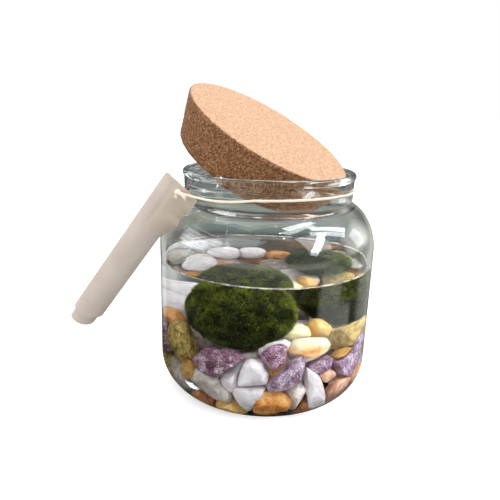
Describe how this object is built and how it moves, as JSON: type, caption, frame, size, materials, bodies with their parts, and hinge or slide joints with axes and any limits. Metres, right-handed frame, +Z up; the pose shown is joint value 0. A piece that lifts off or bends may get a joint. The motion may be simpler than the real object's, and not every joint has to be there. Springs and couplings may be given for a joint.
{
  "type": "marimo moss ball jar",
  "caption": "Green marimo moss balls resting on coloured pebbles in a corked glass jar of water, with a rolled paper leaflet tied to the neck by twine.",
  "frame": {"origin": "centre of the jar's flat foot, at the level it stands on", "axes": "+Z up along the jar's axis, +X to the right and +Y away as seen from the front, where the large ball and the paper roll are nearest"},
  "size_m": [0.1556, 0.11, 0.1558],
  "materials": {
    "glass": "clear blown glass, faintly green at the edges",
    "water": "clear water",
    "cork": "pressed cork granules, paler on the cut face",
    "twine": "cream cotton twine",
    "paper": "uncoated off-white paper",
    "moss": "dark green velvety alga threads",
    "white": "tumbled white quartz, slightly translucent",
    "grey": "tumbled grey-white marble",
    "purple": "purple mica stone, glossy and sparkling",
    "lilac": "pale lilac stone with fine sparkle",
    "mauve": "greyish mauve pebble",
    "orange": "orange jasper-like pebble",
    "peach": "peach and pink pebble",
    "cream": "cream pebble with an orange heart",
    "striped": "pale yellow pebble with white stripes",
    "beige": "beige pebble",
    "khaki": "khaki-yellow speckled stone",
    "olive": "mottled olive-brown stone",
    "amber": "amber-coloured smooth pebble",
    "brown": "tan-brown pebble"
  },
  "bodies": {
    "root": {"cork_stopper": "cork", "glass_jar": "glass", "marimo_ball_large": "moss", "marimo_ball_small": "moss", "paper_scroll": "paper", "pebble_amber_bead": "amber", "pebble_amber_thin": "amber", "pebble_back_low_1": "white", "pebble_back_low_2": "brown", "pebble_back_low_3": "purple", "pebble_back_low_4": "grey", "pebble_back_low_5": "peach", "pebble_back_low_6": "olive", "pebble_back_mid_1": "khaki", "pebble_back_mid_2": "beige", "pebble_back_mid_3": "orange", "pebble_back_mid_4": "grey", "pebble_back_mid_5": "purple", "pebble_beige_back_left": "beige", "pebble_beige_low": "beige", "pebble_brown_low": "brown", "pebble_cream_orange_heart": "cream", "pebble_grey_behind": "grey", "pebble_grey_left": "grey", "pebble_inner_low_1": "beige", "pebble_inner_low_2": "grey", "pebble_inner_low_3": "brown", "pebble_inner_mid_1": "white", "pebble_inner_mid_2": "mauve", "pebble_khaki_block": "khaki", "pebble_lilac_right": "lilac", "pebble_mauve_back": "mauve", "pebble_mauve_left": "mauve", "pebble_olive_left": "olive", "pebble_orange_back": "orange", "pebble_orange_left": "orange", "pebble_orange_low": "orange", "pebble_orange_right": "orange", "pebble_peach_low": "peach", "pebble_peach_small": "peach", "pebble_peach_top": "peach", "pebble_purple_large": "purple", "pebble_purple_middle": "purple", "pebble_purple_right": "purple", "pebble_purple_slanting": "purple", "pebble_purple_small": "purple", "pebble_tan_back": "brown", "pebble_tan_left": "brown", "pebble_tan_low": "brown", "pebble_white_back": "white", "pebble_white_back_large": "white", "pebble_white_back_left": "white", "pebble_white_long": "white", "pebble_white_low": "white", "pebble_white_middle": "white", "pebble_white_under_ball": "white", "pebble_white_wedge": "grey", "pebble_yellow_striped": "striped", "twine": "twine", "water": "water"}
  },
  "joints": []
}
